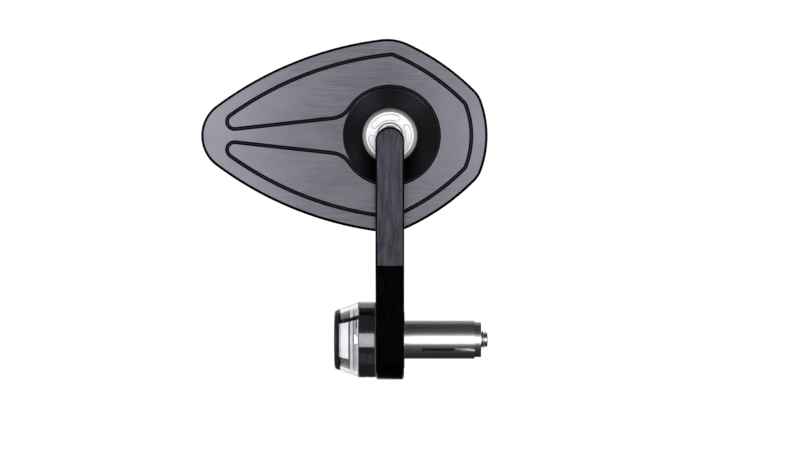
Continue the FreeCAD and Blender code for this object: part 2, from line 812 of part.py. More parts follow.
def lamp_bezel():
    """The ring that screws into the base and holds the lens."""
    return turned("lamp_bezel", [
        ("bezel_out", "seat_bore"),
        ("seat_floor", "seat_bore"),
        ("seat_floor", "lip_bore"),
        ("lip_end", "lip_bore"),
        ("lip_end", "lip_round"),
        ("part_line", "lip_round"),
        ("part_line", "lamp_round - bezel_edge"),
        ("part_line - bezel_edge", "lamp_round"),
        ("bezel_out + bezel_edge", "lamp_round"),
        ("bezel_out", "lamp_round - bezel_edge"),
    ])


def lamp_lens():
    """The clear tapered wall of the lamp, with a flange that sits in the bezel."""
    return turned("lamp_lens", [
        ("flange_in", "lens_round - lens_skin"),
        ("flange_in", "seat_bore - lip_play"),
        ("bezel_out", "seat_bore - lip_play"),
        ("bezel_out", "lens_round"),
        ("cap_in", "cap_round"),
        ("cap_in", "cap_round - lens_skin"),
        ("bezel_out", "lens_round - lens_skin"),
    ])


def end_cap():
    """The black end of the lamp, moulded onto the clear wall."""
    return turned("end_cap", [
        ("cap_in", "cap_round - lens_skin"),
        ("cap_in", "cap_round"),
        ("lens_out + lens_corner * cos(lens_taper * 1deg)",
         "lens_tip + lens_corner * sin(lens_taper * 1deg)", "lens_bend", "left"),
        ("lens_out", "lens_tip - lens_corner"),
        ("lens_out", "0"),
        ("lens_out + lens_wall", "0"),
        ("lens_out + lens_wall", "lens_tip + lens_wall * lens_tan - lens_skin"),
    ])


def lens_seal():
    """The flat gasket under the lens flange."""
    return turned("lens_seal", [
        ("flange_in", "lip_bore + lip_play"),
        ("flange_in", "seat_bore - lip_play"),
        ("seat_floor", "seat_bore - lip_play"),
        ("seat_floor", "lip_bore + lip_play"),
    ])


def base_seal():
    """The sealing cord between the bezel's lip and the base."""
    ring = doc.addObject("Part::Torus", "base_seal")
    ring.Label = "base_seal"
    ring.Placement = Placement(Vector(0, 0, 0), Rotation(Vector(0, 1, 0), 90))
    ring.setExpression("Placement.Base.x", bound("lip_end + cord_round"))
    ring.setExpression("Radius1", bound("lip_round - lip_wall / 2"))
    ring.setExpression("Radius2", bound("cord_round"))
    return ring


def reflector_ring():
    """The bright ring under the lens: two sharp furrows between facets, a neck and a foot."""
    near = "reflector_out + reflector_length"
    corners = [
        ("core_in", "reflector_bore"),
        ("core_in", "reflector_neck"),
        ("reflector_out", "reflector_neck"),
    ]
    # Crests (0) and furrows (1) along the ring's length, as shares of it.
    for share, furrow in ((0, 0), (0.2, 0), (0.3, 1), (0.45, 0), (0.65, 1), (0.85, 0), (1, 0)):
        level = "reflector_out + reflector_length * %g" % share
        crest = "reflector_round - reflector_length * %g * lens_tan" % (1 - share)
        corners.append((level, crest + " - facet_depth * %d" % furrow))
    return turned("reflector_ring", corners + [
        (near, "lip_bore - reflector_play"),
        ("board_out", "lip_bore - reflector_play"),
        ("board_out", "reflector_bore"),
    ])


def led_board():
    """The round circuit board behind the reflector."""
    return turned("led_board", [
        ("board_out", "0"),
        ("board_out", "lip_bore - board_play"),
        ("lip_end", "lip_bore - board_play"),
        ("lip_end", "0"),
    ])


def leds():
    """The light chips on the board, evenly spaced on a circle."""
    chips = []
    for number in range(int(size("led_count"))):
        angle = "(%d * 360 / led_count) * 1deg" % number
        chip = doc.addObject("Part::Box", "led_chip_%d" % (number + 1))
        chip.setExpression("Length", bound("led_thick"))
        chip.setExpression("Width", bound("led_size"))
        chip.setExpression("Height", bound("led_size"))
        chip.setExpression("Placement.Base.x", bound("board_out - led_thick"))
        chip.setExpression("Placement.Base.y", bound("led_circle * cos(" + angle + ") - led_size / 2"))
        chip.setExpression("Placement.Base.z", bound("led_circle * sin(" + angle + ") - led_size / 2"))
        chips.append(chip)
    group = doc.addObject("Part::Compound", "leds")
    group.Label = "leds"
    group.Links = chips
    return group


def cone(name, out_radius, in_radius, out_level, length):
    """A cone about the bar axis, from its outboard radius to its inboard one."""
    solid = doc.addObject("Part::Cone", name)
    solid.Placement = Placement(Vector(0, 0, 0), Rotation(Vector(0, 1, 0), 90))
    solid.setExpression("Placement.Base.x", bound(out_level))
    solid.setExpression("Radius1", bound(out_radius))
    solid.setExpression("Radius2", bound(in_radius))
    solid.setExpression("Height", bound(length))
    return solid


def core_and_windows():
    """The dark tapered cap inside the lens, and the white panels in its front and rear openings."""
    outer = cone("core_outer", "core_tip", "core_round", "core_out", "core_length")
    inner = cone("core_inner", "core_tip + core_cap * lens_tan - core_wall",
                 "core_round + core_cap * lens_tan - core_wall",
                 "core_out + core_cap", "core_length")
    shell = doc.addObject("Part::Cut", "core_wall_solid")
    shell.Base = outer
    shell.Tool = inner
    sectors = []
    for side, name in ((-1, "front"), (1, "rear")):
        sector = doc.addObject("Part::Cylinder", "window_sector_" + name)
        sector.setExpression("Radius", bound("lamp_round"))
        sector.setExpression("Height", bound("window_length"))
        sector.setExpression("Angle", bound("2 * window_angle"))
        spin = Rotation(Vector(1, 0, 0), 180 + side * 90 - size("window_angle"))
        sector.Placement = Placement(Vector(0, 0, 0), spin.multiply(Rotation(Vector(0, 1, 0), 90)))
        sector.setExpression("Placement.Base.x", bound("core_out + window_start"))
        sectors.append(sector)
    openings = doc.addObject("Part::Fuse", "window_sectors")
    openings.Base = sectors[0]
    openings.Tool = sectors[1]
    core = doc.addObject("Part::Cut", "lamp_core")
    core.Label = "lamp_core"
    core.Base = shell
    core.Tool = openings
    panels = doc.addObject("Part::Common", "light_windows")
    panels.Label = "light_windows"
    panels.Base = shell
    panels.Tool = openings
    return core, panels


def bolt_washer():
    """The washer under the bolt's head."""
    return turned("bolt_washer", [
        ("bolt_seat - bolt_washer_thick", "bolt_round + bolt_play"),
        ("bolt_seat - bolt_washer_thick", "bolt_head"),
        ("bolt_seat", "bolt_head"),
        ("bolt_seat", "bolt_round + bolt_play"),
    ])


def clamp_bolt():
    """The hollow bolt that draws the cone into the sleeve; the lamp's cable leaves through it."""
    top = "bolt_seat - bolt_washer_thick - bolt_head_thick"
    body = turned("clamp_bolt", [
        (top, "bolt_bore"),
        (top, "bolt_head - bezel_edge"),
        (top + " + bezel_edge", "bolt_head"),
        ("bolt_seat - bolt_washer_thick", "bolt_head"),
        ("bolt_seat - bolt_washer_thick", "bolt_round"),
        ("bolt_end - bezel_edge", "bolt_round"),
        ("bolt_end", "bolt_round - bezel_edge"),
        ("bolt_end", "bolt_bore"),
    ])
    key = new_sketch(body, "hex_key", "YZ_Plane", top)
    corners = []
    for number in range(6):
        angle = "(%d * 60 + 30) * 1deg" % number
        reach = "hex_flats / 2 / cos(30deg)"
        corners.append((reach + " * cos(" + angle + ")", reach + " * sin(" + angle + ")"))
    closed_profile(key, corners)
    pocket(body, key, "hex_socket", "hex_depth", True)
    return body


def expander_sleeve():
    """The slit sleeve that grips the inside of the handlebar, coned at its inboard end."""
    body = turned("expander_sleeve", [
        ("0", "sleeve_bore"),
        ("0", "sleeve_round"),
        ("sleeve_end", "sleeve_round"),
        ("sleeve_end", "sleeve_bore + cone_length * cone_tan"),
        ("cone_start", "sleeve_bore"),
    ])
    slit = new_sketch(body, "slit", "XY_Plane")
    closed_profile(slit, [
        ("sleeve_end - sleeve_slot_length", "-sleeve_slot / 2"),
        ("sleeve_end + overrun", "-sleeve_slot / 2"),
        ("sleeve_end + overrun", "sleeve_slot / 2"),
        ("sleeve_end - sleeve_slot_length", "sleeve_slot / 2"),
    ])
    cut = pocket(body, slit, "sleeve_slit", "sleeve_round + overrun", True)
    polar(body, cut, "sleeve_slits", 3)
    return body


def expander_cone():
    """The threaded cone that the bolt draws into the sleeve."""
    return turned("expander_cone", [
        ("cone_start", "bolt_round + thread_play"),
        ("cone_start", "sleeve_bore - cone_play"),
        ("sleeve_end", "sleeve_bore - cone_play + cone_length * cone_tan"),
        ("cone_end", "sleeve_bore - cone_play + cone_length * cone_tan"),
        ("cone_end", "bolt_round + thread_play"),
    ])


pieces = [
    by_outline("head_shell", head_shell),
    by_outline("glass_pad", glass_pad),
    by_outline("mirror_glass", mirror_glass),
    retaining_ring(),
    slip_washer(),
    socket_cup(),
    ball_liner(),
    ball_stud(),
    arm(),
    eye_bush(),
    friction_washer(),
    stop_washer(),
    lamp_base(),
    base_seal(),
    lamp_bezel(),
    lens_seal(),
    lamp_lens(),
    end_cap(),
    reflector_ring(),
    led_board(),
    leds(),
    *core_and_windows(),
    bolt_washer(),
    clamp_bolt(),
    expander_sleeve(),
    expander_cone(),
]
doc.recompute()

for item in doc.Objects:
    if "Invalid" in item.State or "Error" in item.State:
        raise RuntimeError(item.Label + " did not build")
os.makedirs("parts", exist_ok=True)
for piece in pieces:
    if piece.Shape.isNull() or not piece.Shape.isValid():
        raise RuntimeError(piece.Label + " is not a sound solid")
    piece.Shape.exportStep("parts/" + piece.Label + ".step")
    print("%-16s solids %d  volume %9.1f" % (piece.Label, len(piece.Shape.Solids), piece.Shape.Volume))
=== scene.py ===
import json
import math

import bmesh
import bpy
from mathutils import Matrix, Vector


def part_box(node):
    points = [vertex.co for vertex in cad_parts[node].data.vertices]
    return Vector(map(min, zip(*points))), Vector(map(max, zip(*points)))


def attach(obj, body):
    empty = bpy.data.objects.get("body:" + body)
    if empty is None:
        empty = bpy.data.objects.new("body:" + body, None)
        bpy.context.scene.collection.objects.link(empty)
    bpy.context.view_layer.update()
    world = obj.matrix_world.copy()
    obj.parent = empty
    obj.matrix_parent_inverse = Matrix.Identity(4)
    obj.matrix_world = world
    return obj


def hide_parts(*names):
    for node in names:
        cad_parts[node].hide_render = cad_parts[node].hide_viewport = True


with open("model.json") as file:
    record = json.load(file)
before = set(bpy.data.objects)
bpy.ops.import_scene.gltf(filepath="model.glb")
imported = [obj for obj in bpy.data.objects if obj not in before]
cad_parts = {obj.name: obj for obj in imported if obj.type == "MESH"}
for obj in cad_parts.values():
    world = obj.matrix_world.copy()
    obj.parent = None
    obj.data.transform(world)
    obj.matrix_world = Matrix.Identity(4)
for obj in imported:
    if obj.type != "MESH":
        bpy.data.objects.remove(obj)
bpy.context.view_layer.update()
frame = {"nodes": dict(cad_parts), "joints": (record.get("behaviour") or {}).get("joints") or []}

# --- Head shell -------------------------------------------------------------------------------
# Milled from one aluminium plate, hollowed from the glass side and anodised satin black.  The
# back keeps a fine straight grain, and the dish round the ball joint was turned in a lathe.
# Everything sunk behind the back face, such as the grooves and the dish, is painted near-black as shade.
BALL = Vector(next(j for j in frame["joints"] if j["name"] == "head_spin")["pos_m"])
DISH_EDGE = 0.0213
BACK_FACE = -0.0066
GROOVE_STARTS = BACK_FACE + 0.00002
GROOVE_FULL = BACK_FACE + 0.00006
DISH_FLOOR = -0.0044
SIDE_STARTS = DISH_FLOOR + 0.0002
SIDE_FULL = DISH_FLOOR + 0.0012
STRAIGHT_GRAIN = (0.011, 0.0004, 0.0004)
LATHE_MARK = 0.00022
HEAD_CLOUD = (0.03, 0.02, 0.018)
HEAD_RELIEF = 0.000004
SPECK = (0.0003, 0.0003, 0.0003)


class Value:
    """A number that varies over a surface, so that shader maths reads as arithmetic."""

    def __init__(self, nodes, socket):
        self.nodes = nodes
        self.socket = socket

    def maths(self, operation, *terms):
        return self.nodes.node("ShaderNodeMath", {"operation": operation}, dict(enumerate(terms)))["Value"]

    def __add__(self, other):
        return self.maths("ADD", self, other)

    __radd__ = __add__

    def __sub__(self, other):
        return self.maths("SUBTRACT", self, other)

    def __rsub__(self, other):
        return self.maths("SUBTRACT", other, self)

    def __mul__(self, other):
        return self.maths("MULTIPLY", self, other)

    __rmul__ = __mul__

    def __truediv__(self, other):
        return self.maths("DIVIDE", self, other)

    def __pow__(self, other):
        return self.maths("POWER", self, other)

    def __mod__(self, other):
        return self.maths("FLOORED_MODULO", self, other)

    def __abs__(self):
        return self.maths("ABSOLUTE", self)

    def __gt__(self, other):
        return self.maths("GREATER_THAN", self, other)

    def __lt__(self, other):
        return self.maths("LESS_THAN", self, other)


class Outputs:
    """A node's outputs, each wrapped when it is asked for."""

    def __init__(self, nodes, made):
        self.nodes = nodes
        self.made = made

    def __getitem__(self, name):
        return Value(self.nodes, self.made.outputs[name])


class Nodes:
    """A node tree that is written as expressions."""

    def __init__(self, tree):
        self.tree = tree

    def feed(self, socket, value):
        if isinstance(value, Value):
            self.tree.links.new(value.socket, socket)
        else:
            socket.default_value = value

    def node(self, kind, settings=None, values=None):
        made = self.tree.nodes.new(kind)
        for setting, value in (settings or {}).items():
            setattr(made, setting, value)
        for socket, value in (values or {}).items():
            self.feed(made.inputs[socket], value)
        return Outputs(self, made)

    def spread(self, value, low, high, to_low=0.0, to_high=1.0):
        """A value stretched from one span to another, and held inside it."""
        return self.node("ShaderNodeMapRange", {"clamp": True},
                         {"Value": value, "From Min": low, "From Max": high,
                          "To Min": to_low, "To Max": to_high})["Result"]


class Finish(Nodes):
    """A material: the plain sockets are set at once, and the varying ones by set()."""

    def __init__(self, name, **plain):
        self.material = bpy.data.materials.new(name)
        self.material.use_nodes = True
        super().__init__(self.material.node_tree)
        self.shader = self.tree.nodes["Principled BSDF"]
        self.set(**plain)

    def set(self, **values):
        for socket, value in values.items():
            self.feed(self.shader.inputs[socket.replace("_", " ")], value)
        return self.material

    def place(self, centre=(0, 0, 0), grain=(1, 1, 1), turn=(0, 0, 0)):
        """Object coordinates from a centre, turned, in units of a grain's size along each axis."""
        coords = self.node("ShaderNodeTexCoord")["Object"]
        return self.node("ShaderNodeMapping", {"vector_type": "TEXTURE"},
                         {"Vector": coords, "Location": centre, "Rotation": turn, "Scale": grain})["Vector"]

    def noise(self, place, detail=2.0, rough=0.5):
        return self.node("ShaderNodeTexNoise", None,
                         {"Vector": place, "Scale": 1.0, "Detail": detail, "Roughness": rough})["Fac"]

    def lines(self, along, width, detail=2.0):
        """Uneven lines across a value in metres, such as a lathe tool's marks."""
        return self.node("ShaderNodeTexNoise", {"noise_dimensions": "1D"},
                         {"W": along / width, "Scale": 1.0, "Detail": detail})["Fac"]

    def split(self, place):
        parts = self.node("ShaderNodeSeparateXYZ", None, {"Vector": place})
        return parts["X"], parts["Y"], parts["Z"]

    def mix(self, factor, first, second):
        """Two colours, from the first at 0 to the second at 1."""
        made = self.node("ShaderNodeMix", {"data_type": "RGBA"}, {0: factor, 6: first, 7: second})
        return made[2]

    def bump(self, height, depth, strength=1.0):
        return self.node("ShaderNodeBump", None,
                         {"Height": height, "Distance": depth, "Strength": strength})["Normal"]


def tone(red, green, blue):
    return (red, green, blue, 1)


def coat(node, material):
    """Give a CAD node its finish."""
    mesh = frame["nodes"][node].data
    mesh.materials.clear()
    mesh.materials.append(material)


FACE_TONES = tone(0.078, 0.076, 0.09), tone(0.102, 0.1, 0.117)
# Painted shade: a near-black copy of the anodised colour for everything sunk behind the back face.
RECESS_SHADE_TONES = tone(0.009, 0.009, 0.011), tone(0.015, 0.015, 0.018)
# Painted shade: the side walls get a darker copy of the face's anodised colour.
SIDE_SHADE_TONES = tone(0.045, 0.045, 0.052), tone(0.07, 0.07, 0.08)
FACE_ROUGHNESS = 0.15, 0.21
CUT_ROUGHNESS = 0.1


def anodised_head():
    finish = Finish("head_black", Metallic=1.0)
    across, depth, up = finish.split(finish.place(BALL))
    radius = (across * across + up * up) ** 0.5
    turned = radius < DISH_EDGE
    grain = finish.noise(finish.place(BALL, STRAIGHT_GRAIN), 3.0)
    tool = finish.lines(radius, LATHE_MARK)
    marks = grain * (1 - turned) + tool * turned
    cloud = finish.noise(finish.place(BALL, HEAD_CLOUD), 3.0)
    speck = finish.noise(finish.place(BALL, SPECK), 1.0)
    shade = finish.spread(cloud * 0.6 + marks * 0.3 + speck * 0.1, 0.3, 0.7)
    face = finish.mix(shade, *FACE_TONES)
    # The painted shade in the grooves and the dish.
    recess_shade = finish.mix(shade, *RECESS_SHADE_TONES)
    # The painted shade on the side walls.
    side = finish.mix(shade, *SIDE_SHADE_TONES)
    below = finish.spread(depth, GROOVE_STARTS, GROOVE_FULL)
    outside = finish.spread(depth, SIDE_STARTS, SIDE_FULL)
    return finish.set(Base_Color=finish.mix(outside, finish.mix(below, face, recess_shade), side),
                      Roughness=finish.spread(marks, 0.25, 0.75, *FACE_ROUGHNESS) + below * CUT_ROUGHNESS,
                      Normal=finish.bump(marks * 0.7 + speck * 0.3, HEAD_RELIEF, 0.6))


coat("head_shell", anodised_head())

# --- Reflecting plate -----------------------------------------------------------------------
# Float glass, silvered on its hidden side, with a ground edge.  It lies on a sheet of black
# adhesive foam inside the shell's rim.
GLASS_FACING = 0.95
GLASS_HAZE = (0.018, 0.018, 0.014)
SILVER_TONES = tone(0.86, 0.88, 0.9), tone(0.9, 0.915, 0.93)
SILVER_ROUGHNESS = 0.015, 0.04
GROUND_TONES = tone(0.3, 0.36, 0.35), tone(0.42, 0.48, 0.47)
GROUND_ROUGHNESS = 0.42
GROUND_RELIEF = 0.00001
FOAM_TONES = tone(0.012, 0.012, 0.012), tone(0.045, 0.045, 0.046)
FOAM_RELIEF = 0.00008


def silvered_glass():
    finish = Finish("mirror_face", Metallic=1.0)
    normal = finish.node("ShaderNodeTexCoord")["Normal"]
    facing = finish.split(normal)[1] > GLASS_FACING
    haze = finish.noise(finish.place(BALL, GLASS_HAZE), 4.0)
    grit = finish.noise(finish.place(BALL, SPECK), 2.0)
    plain = finish.mix(haze, *SILVER_TONES)
    ground = finish.mix(grit, *GROUND_TONES)
    return finish.set(Base_Color=finish.mix(facing, ground, plain),
                      Roughness=(facing * finish.spread(haze, 0.3, 0.8, *SILVER_ROUGHNESS)
                                 + (1 - facing) * GROUND_ROUGHNESS),
                      Normal=finish.bump(grit * (1 - facing), GROUND_RELIEF, 0.5))


def foam():
    finish = Finish("adhesive_foam", Specular_IOR_Level=0.25)
    cells = finish.node("ShaderNodeTexVoronoi", None,
                        {"Vector": finish.place(BALL, SPECK), "Scale": 1.0})["Distance"]
    colour = finish.mix(cells, *FOAM_TONES)
    return finish.set(Base_Color=colour, Roughness=0.85 + 0.1 * cells,
                      Normal=finish.bump(cells, FOAM_RELIEF))


coat("mirror_glass", silvered_glass())
coat("glass_pad", foam())

# --- Ball joint -------------------------------------------------------------------------------
# A bright turned steel ring screws in over the ball and has three pockets for a pin spanner.
# The ball turns in a woven-lined steel shell, seated in a plastic cup on a slippery disc.
RING_FACE = 0.01075
RING_LINE = 0.00635
RING_LINE_HALF = 0.00003
RING_LINE_FADE = 0.00009
RING_ROUNDING = 0.00014
FINE_MARK = 0.00008
COARSE_MARK = 0.0003
STEEL_RELIEF = 0.000012
STEEL_TONES = tone(0.33, 0.33, 0.335), tone(0.43, 0.43, 0.435)
CHAMFER_TONES = tone(0.5, 0.5, 0.51), tone(0.95, 0.95, 0.95)
LINE_TONE = tone(0.15, 0.15, 0.16)
LINER_WEAVE = (0.0005, 0.0005, 0.00018)
LINER_TONES = tone(0.5, 0.49, 0.47), tone(0.66, 0.655, 0.64)
WEAVE_RELIEF = 0.00001
PLASTIC_FLECK = (0.0004, 0.0004, 0.0004)
PLASTIC_FLOW = (0.004, 0.002, 0.002)
PLASTIC_TONES = tone(0.05, 0.05, 0.053), tone(0.095, 0.095, 0.1)
WELD_GAP = 0.000002
FLAT_ANGLE = math.radians(0.3)
EDGE_ANGLE = math.radians(28)


def ease_edges(node, rounding):
    """Break a CAD node's sharp edges, as tumbling and coating do on the real piece."""
    piece = frame["nodes"][node]
    weld = piece.modifiers.new("weld", "WELD")
    weld.merge_threshold = WELD_GAP
    flat = piece.modifiers.new("flat_faces", "DECIMATE")
    flat.decimate_type = "DISSOLVE"
    flat.angle_limit = FLAT_ANGLE
    edge = piece.modifiers.new("eased_edges", "BEVEL")
    edge.width = rounding
    edge.segments = 2
    edge.limit_method = "ANGLE"
    edge.angle_limit = EDGE_ANGLE
    edge.use_clamp_overlap = False
    edge.harden_normals = True


def bright_steel():
    finish = Finish("bright_steel", Metallic=1.0)
    across, _, up = finish.split(finish.place(BALL))
    radius = (across * across + up * up) ** 0.5
    chamfer = radius > RING_FACE
    line = finish.spread(abs(radius - RING_LINE), RING_LINE_HALF, RING_LINE_FADE, 1.0, 0.0)
    fine = finish.lines(radius, FINE_MARK)
    coarse = finish.lines(radius, COARSE_MARK, 0.5)
    marks = fine * 0.4 + coarse * 0.6
    colour = finish.mix(marks, *STEEL_TONES)
    colour = finish.mix(chamfer, colour, finish.mix(coarse, *CHAMFER_TONES))
    colour = finish.mix(line, colour, LINE_TONE)
    return finish.set(Base_Color=colour,
                      Roughness=0.2 + 0.12 * fine + chamfer * (0.2 + 0.22 * coarse),
                      Normal=finish.bump(marks - line * 0.6 + chamfer * coarse * 12, STEEL_RELIEF, 0.5))


def woven_liner():
    finish = Finish("liner_steel", Metallic=1.0)
    weave = finish.noise(finish.place(BALL, LINER_WEAVE), 2.0)
    colour = finish.mix(weave, *LINER_TONES)
    return finish.set(Base_Color=colour, Roughness=0.32 + 0.2 * weave,
                      Normal=finish.bump(weave, WEAVE_RELIEF))


def bearing_plastic():
    finish = Finish("bearing_plastic", Specular_IOR_Level=0.4)
    fleck = finish.noise(finish.place(grain=PLASTIC_FLECK), 3.0)
    flow = finish.noise(finish.place(grain=PLASTIC_FLOW), 2.0)
    colour = finish.mix(finish.spread(fleck * 0.5 + flow * 0.5, 0.35, 0.65), *PLASTIC_TONES)
    return finish.set(Base_Color=colour, Roughness=0.45 + 0.2 * fleck,
                      Normal=finish.bump(fleck, WEAVE_RELIEF))


steel = bright_steel()
plastic = bearing_plastic()
coat("retaining_ring", steel)
ease_edges("retaining_ring", RING_ROUNDING)
coat("ball_stud", steel)
coat("ball_liner", woven_liner())
for node in ("socket_cup", "slip_washer", "eye_bush", "friction_washer"):
    coat(node, plastic)

# --- Arm --------------------------------------------------------------------------------------
# A flat bar milled to shape, chamfered all round and brushed lengthwise before it was anodised,
# so the grain shows through as uneven streaks.  Its eye turns on a thin plastic bush.
ARM_ROUNDING = 0.00009
ARM_STREAK = (0.0005, 0.004, 0.012)
ARM_BROAD = (0.002, 0.004, 0.02)
ARM_PIT = (0.0006, 0.0006, 0.0016)
ARM_TONES = tone(0.009, 0.009, 0.012), tone(0.044, 0.044, 0.054)
ARM_ROUGHNESS = 0.16, 0.34
ARM_RELIEF = 0.000012


def anodised_arm():
    finish = Finish("arm_black", Metallic=1.0)
    streak = finish.noise(finish.place(BALL, ARM_STREAK), 4.0, 0.6)
    broad = finish.noise(finish.place(BALL, ARM_BROAD), 2.0)
    pit = finish.noise(finish.place(BALL, ARM_PIT), 2.0)
    shade = finish.spread(streak * 0.45 + broad * 0.3 + pit * 0.25, 0.34, 0.66)
    colour = finish.mix(shade, *ARM_TONES)
    return finish.set(Base_Color=colour,
                      Roughness=finish.spread(streak, 0.3, 0.7, *ARM_ROUGHNESS),
                      Normal=finish.bump(streak * 0.7 + pit * 0.3, ARM_RELIEF, 0.6))


coat("arm", anodised_arm())
ease_edges("arm", ARM_ROUNDING)

# --- Lamp body --------------------------------------------------------------------------------
# Two turned aluminium rings, anodised gloss black: the base carries the arm on its spigot, and
# the bezel screws into it over a rubber cord and clamps the lens on a flat gasket.
LAMP_MARK = 0.00012
LAMP_CLOUD = (0.004, 0.006, 0.006)
LAMP_TONES = tone(0.52, 0.51, 0.55), tone(0.61, 0.6, 0.64)
LAMP_RELIEF = 0.000001
RUBBER_BLOOM = (0.0008, 0.0008, 0.0008)
RUBBER_TONES = tone(0.012, 0.012, 0.012), tone(0.04, 0.04, 0.04)
FAINT_RELIEF = 0.00001


def gloss_black():
    finish = Finish("lamp_black", Metallic=1.0)
    along, _, _ = finish.split(finish.place())
    tool = finish.lines(along, LAMP_MARK)
    cloud = finish.noise(finish.place(grain=LAMP_CLOUD), 3.0)
    colour = finish.mix(finish.spread(cloud, 0.3, 0.7), *LAMP_TONES)
    return finish.set(Base_Color=colour,
                      Roughness=0.07 + 0.07 * tool,
                      Normal=finish.bump(tool, LAMP_RELIEF, 0.4))


def rubber():
    finish = Finish("seal_rubber", Specular_IOR_Level=0.35)
    bloom = finish.noise(finish.place(grain=RUBBER_BLOOM), 4.0)
    colour = finish.mix(bloom, *RUBBER_TONES)
    return finish.set(Base_Color=colour, Roughness=0.55 + 0.3 * bloom,
                      Normal=finish.bump(bloom, FAINT_RELIEF))


lamp_black = gloss_black()
coat("lamp_base", lamp_black)
coat("lamp_bezel", lamp_black)
seal = rubber()
coat("base_seal", seal)
coat("lens_seal", seal)

# --- Light unit -------------------------------------------------------------------------------
# Six chips on a round board shine forwards between a bright faceted ring and a dark core, whose
# front and rear openings hold white diffusing panels.  The lamp's black end is moulded onto the
# clear wall.
CHROME_FILM = (0.002, 0.002, 0.002)
CHROME_TONES = tone(0.56, 0.56, 0.59), tone(0.72, 0.72, 0.75)
CHROME_RELIEF = 0.00002
CORE_FLOW = (0.003, 0.001, 0.001)
CORE_TONES = tone(0.006, 0.006, 0.007), tone(0.018, 0.018, 0.02)
# Painted light: the diffusing panels glow faintly, standing in for studio light that reaches them through
# the lens; the chips themselves do not glow.
WINDOW_PAINTED_LIGHT = 0.22
WINDOW_MILK = (0.0012, 0.0012, 0.0012)
WINDOW_TONES = tone(0.86, 0.855, 0.9), tone(0.93, 0.925, 0.96)
TRACK_PITCH = 0.0011
TRACK_HALF = 0.00014
TRACK_FADE = 0.00018
TRACK_BREAK = (0.003, 0.003, 0.003)
TRACK_BREAK_LEVEL = 0.47
TRACK_RELIEF = 0.00003
BOARD_TONES = tone(0.01, 0.07, 0.035), tone(0.03, 0.16, 0.07)
RESIN_GRAIN = (0.0002, 0.0002, 0.0002)
RESIN_TONES = tone(0.72, 0.46, 0.05), tone(0.9, 0.68, 0.14)


def chrome():
    finish = Finish("reflector_chrome", Metallic=1.0)
    film = finish.noise(finish.place(grain=CHROME_FILM), 3.0)
    colour = finish.mix(film, *CHROME_TONES)
    return finish.set(Base_Color=colour, Roughness=0.02 + 0.04 * film,
                      Normal=finish.bump(film, CHROME_RELIEF, 0.3))


def core_plastic():
    finish = Finish("core_black", Coat_Weight=0.3)
    flow = finish.noise(finish.place(grain=CORE_FLOW), 3.0)
    colour = finish.mix(flow, *CORE_TONES)
    return finish.set(Base_Color=colour, Roughness=0.1 + 0.12 * flow,
                      Normal=finish.bump(flow, FAINT_RELIEF, 0.4))


def diffusing_white():
    # Painted light: a faint glow in the panels' own colour.
    finish = Finish("window_white", Emission_Strength=WINDOW_PAINTED_LIGHT)
    milk = finish.noise(finish.place(grain=WINDOW_MILK), 3.0)
    colour = finish.mix(milk, *WINDOW_TONES)
    return finish.set(Base_Color=colour, Emission_Color=colour,
                      Roughness=0.3 + 0.15 * milk, Normal=finish.bump(milk, FAINT_RELIEF, 0.5))


def solder_mask():
    finish = Finish("board_mask", Coat_Weight=0.2)
    _, front, up = finish.split(finish.place())
    radius = (front * front + up * up) ** 0.5
    track = finish.spread(abs(radius % TRACK_PITCH - TRACK_PITCH / 2), TRACK_HALF, TRACK_FADE, 1.0, 0.0)
    breaks = finish.noise(finish.place(grain=TRACK_BREAK), 0.0) > TRACK_BREAK_LEVEL
    copper = track * breaks
    colour = finish.mix(copper, *BOARD_TONES)
    return finish.set(Base_Color=colour, Roughness=0.28 - 0.08 * copper,
                      Normal=finish.bump(copper, TRACK_RELIEF))


def cast_resin():
    finish = Finish("chip_yellow", Coat_Weight=0.5)
    grain = finish.noise(finish.place(grain=RESIN_GRAIN), 3.0)
    colour = finish.mix(grain, *RESIN_TONES)
    return finish.set(Base_Color=colour, Roughness=0.25 + 0.15 * grain,
                      Normal=finish.bump(grain, FAINT_RELIEF))


coat("reflector_ring", chrome())
glossy = core_plastic()
coat("lamp_core", glossy)
coat("end_cap", glossy)
coat("light_windows", diffusing_white())
coat("led_board", solder_mask())
coat("leds", cast_resin())

# --- Lens -------------------------------------------------------------------------------------
# A tapered wall of injection-moulded clear acrylic, polished inside and out, with a flange that
# sits in the bezel.
ACRYLIC_IOR = 1.49
LENS_FLOW = (0.004, 0.004, 0.004)
LENS_TONES = tone(0.96, 0.965, 0.97), tone(0.99, 0.99, 0.995)


def clear_acrylic():
    finish = Finish("clear_lens", Transmission_Weight=1.0, IOR=ACRYLIC_IOR)
    flow = finish.noise(finish.place(grain=LENS_FLOW), 2.0)
    colour = finish.mix(flow, *LENS_TONES)
    return finish.set(Base_Color=colour, Roughness=0.01 + 0.02 * flow,
                      Normal=finish.bump(flow, FAINT_RELIEF, 0.3))


coat("lamp_lens", clear_acrylic())

# --- Plug in the bar end ------------------------------------------------------------------------
# A hollow bolt through the base draws a threaded cone into a slit aluminium sleeve, which
# spreads and grips the tube.  The lamp's cable leaves through the bolt.
ZINC_MARK = 0.00015
ZINC_FILM = (0.003, 0.003, 0.003)
ZINC_TONES = tone(0.5, 0.5, 0.53), tone(0.62, 0.615, 0.6)
ZINC_RELIEF = 0.000006
SLEEVE_MARK = 0.00025
SLEEVE_SCUFF = (0.006, 0.0008, 0.0008)
SLEEVE_TONES = tone(0.62, 0.625, 0.64), tone(0.76, 0.765, 0.775)


